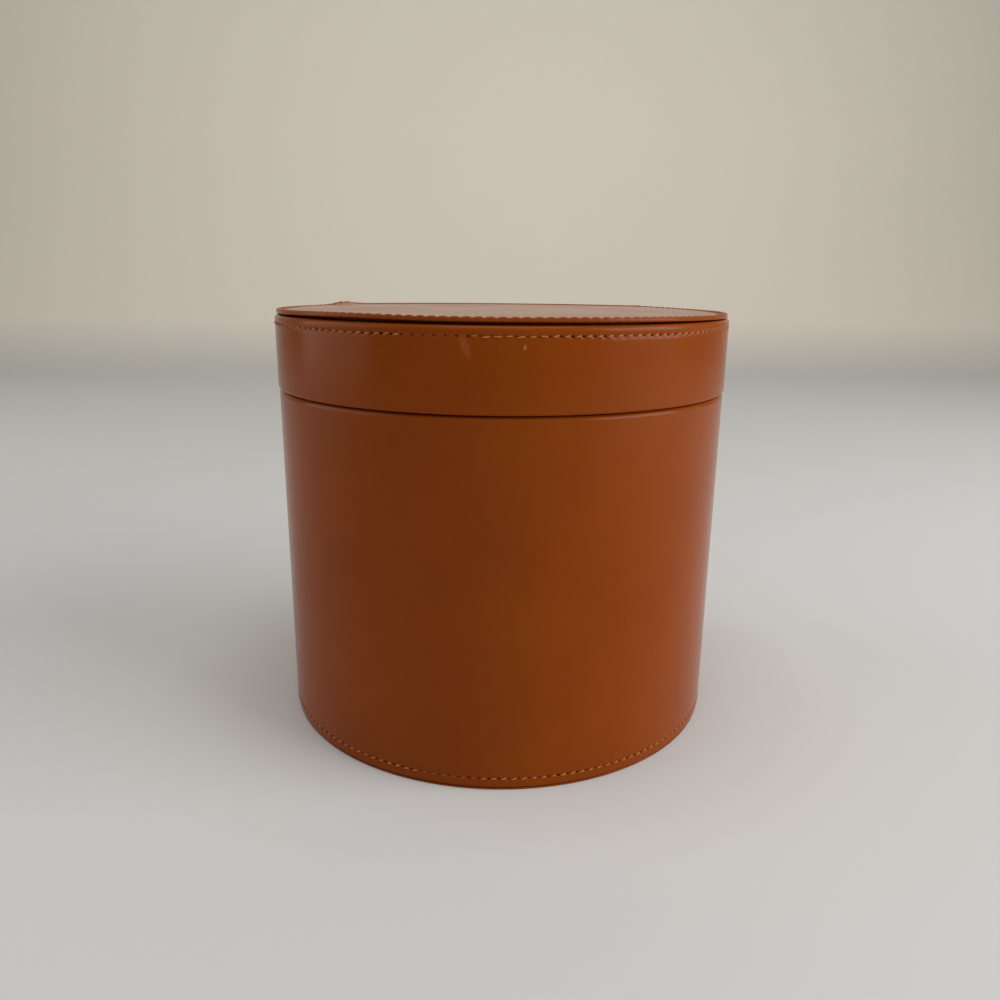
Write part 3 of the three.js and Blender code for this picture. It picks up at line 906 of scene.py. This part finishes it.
swung = bmesh.ops.spin(
    stage, geom=edges + list(edges[0].verts), cent=(0, STAGE_DEPTH, STAGE_SWEEP), axis=(1, 0, 0),
    angle=math.pi / 2, steps=SWEEP_STEPS,
)
drawn_out(stage, edges_in(swung["geom_last"]), (0, 0, STAGE_HEIGHT))
stage_mesh = bpy.data.meshes.new("stage")
stage.to_mesh(stage_mesh)
stage.free()
stage_mesh.materials.append(pale)
stage_mesh.shade_smooth()
floor = bpy.data.objects.new("stage", stage_mesh)
bpy.context.scene.collection.objects.link(floor)

room = bpy.data.worlds.new("pale_room")
room.use_nodes = True
tree = room.node_tree
ambient = tree.nodes["Background"]
ambient.inputs["Color"].default_value = linear("#ece8e2")
ambient.inputs["Strength"].default_value = 0.17
seen = add(tree, "ShaderNodeBackground", {"Color": linear("#cac3b5"), "Strength": 1})
ray = add(tree, "ShaderNodeLightPath", {}).outputs
mirrored = add(
    tree, "ShaderNodeMath",
    {0: ray["Is Glossy Ray"], 1: ray["Is Transmission Ray"]},
    operation="ADD",
)
looked_at = add(
    tree, "ShaderNodeMath",
    {0: ray["Is Camera Ray"], 1: mirrored.outputs[0]},
    operation="ADD",
)
both = add(
    tree, "ShaderNodeMixShader",
    {0: looked_at.outputs[0], 1: ambient.outputs[0], 2: seen.outputs[0]},
)
tree.links.new(both.outputs[0], tree.nodes["World Output"].inputs["Surface"])
bpy.context.scene.world = room
LAMP_AIM = Vector((0, 0, 0.1))


def lamp(name, place, width, watts):
    """A square soft box that faces the middle of the case."""
    light = bpy.data.lights.new(name, "AREA")
    light.size = width
    light.energy = watts
    box = bpy.data.objects.new(name, light)
    facing = (LAMP_AIM - Vector(place)).to_track_quat("-Z", "Y")
    box.matrix_world = Matrix.Translation(place) @ facing.to_matrix().to_4x4()
    bpy.context.scene.collection.objects.link(box)


lamp("right_window", (1.43, -0.6, 0.75), width=1.3, watts=24)
lamp("left_wall", (-1.5, 0.0, 0.65), width=1.4, watts=7)
lamp("ceiling", (0, -0.3, 2.3), width=1.6, watts=19.5)
